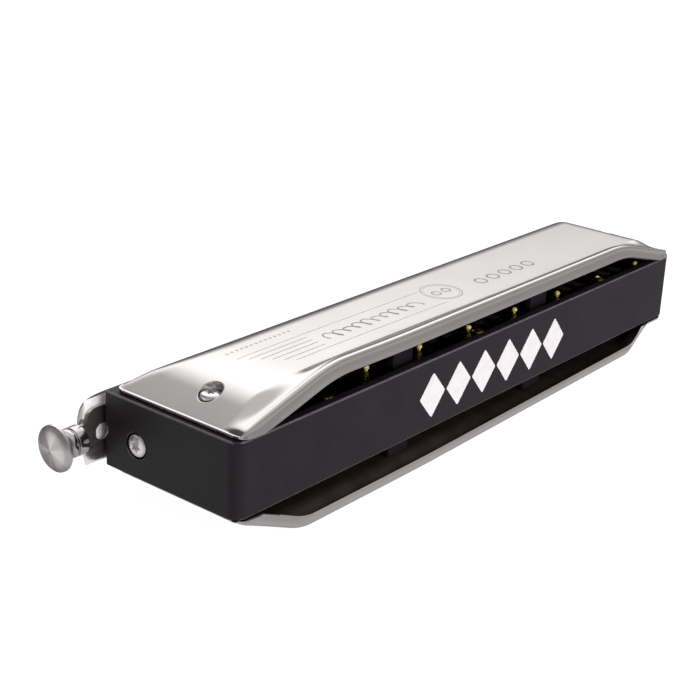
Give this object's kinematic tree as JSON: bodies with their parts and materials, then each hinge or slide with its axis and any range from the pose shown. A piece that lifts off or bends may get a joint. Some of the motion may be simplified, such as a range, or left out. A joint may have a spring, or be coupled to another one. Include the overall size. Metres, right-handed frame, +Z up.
{
  "type": "slide harmonica",
  "caption": "Slide harmonica: black comb with brass reed plates between open-backed steel covers, plated mouthpiece with round holes, and a sprung button.",
  "frame": {"origin": "on the lower cover's flat underside, under the comb's centre; the comb is centred on X = 0 and Y = 0, and the lower cover's rolled rear edge reaches 2.3 mm below the origin", "axes": "+X towards the button end, +Y towards the comb's back wall (the mouthpiece faces -Y), +Z up through the upper cover"},
  "size_m": [0.1921, 0.0501, 0.0356],
  "materials": {
    "comb_plastic": "satin black",
    "reed_brass": "satin rolled brass",
    "cover_steel": "polished steel",
    "mouthpiece_plating": "bright plating",
    "cage_plating": "satin plating",
    "slide_steel": "polished steel",
    "collar_plating": "bright plating",
    "button_plating": "turned and plated",
    "spring_wire": "drawn wire",
    "screw_plating": "bright plating",
    "insert_brass": "turned brass of the inserts and reed plate screws"
  },
  "bodies": {
    "body": {"comb": "comb_plastic", "reed_plate_upper": "reed_brass", "reed_plate_lower": "reed_brass", "cover_upper": "cover_steel", "cover_lower": "cover_steel", "mouthpiece": "mouthpiece_plating", "slide_cage": "cage_plating", "slide_spring": "spring_wire", "spring_screw": "screw_plating", "mouthpiece_screw_1": "screw_plating", "mouthpiece_screw_2": "screw_plating", "cover_screw_upper_right": "screw_plating", "cover_insert_upper_right": "insert_brass", "cover_screw_upper_left": "screw_plating", "cover_insert_upper_left": "insert_brass", "plate_screw_upper_1": "insert_brass", "plate_screw_upper_2": "insert_brass", "plate_screw_upper_3": "insert_brass", "plate_screw_upper_4": "insert_brass", "plate_screw_upper_5": "insert_brass", "plate_screw_upper_6": "insert_brass", "cover_screw_lower_right": "screw_plating", "cover_insert_lower_right": "insert_brass", "cover_screw_lower_left": "screw_plating", "cover_insert_lower_left": "insert_brass", "plate_screw_lower_1": "insert_brass", "plate_screw_lower_2": "insert_brass", "plate_screw_lower_3": "insert_brass", "plate_screw_lower_4": "insert_brass", "plate_screw_lower_5": "insert_brass", "plate_screw_lower_6": "insert_brass"},
    "slide": {"slide": "slide_steel", "button_collar": "collar_plating", "button_cap": "button_plating"}
  },
  "joints": [
    {"name": "button_slide", "type": "slide", "parent": "body", "child": "slide", "axis": [-1, 0, 0], "range_m": [0, 0.0045], "stiffness_N_per_m": 300, "springref_m": -0.004, "deforming": ["slide_spring"]}
  ]
}
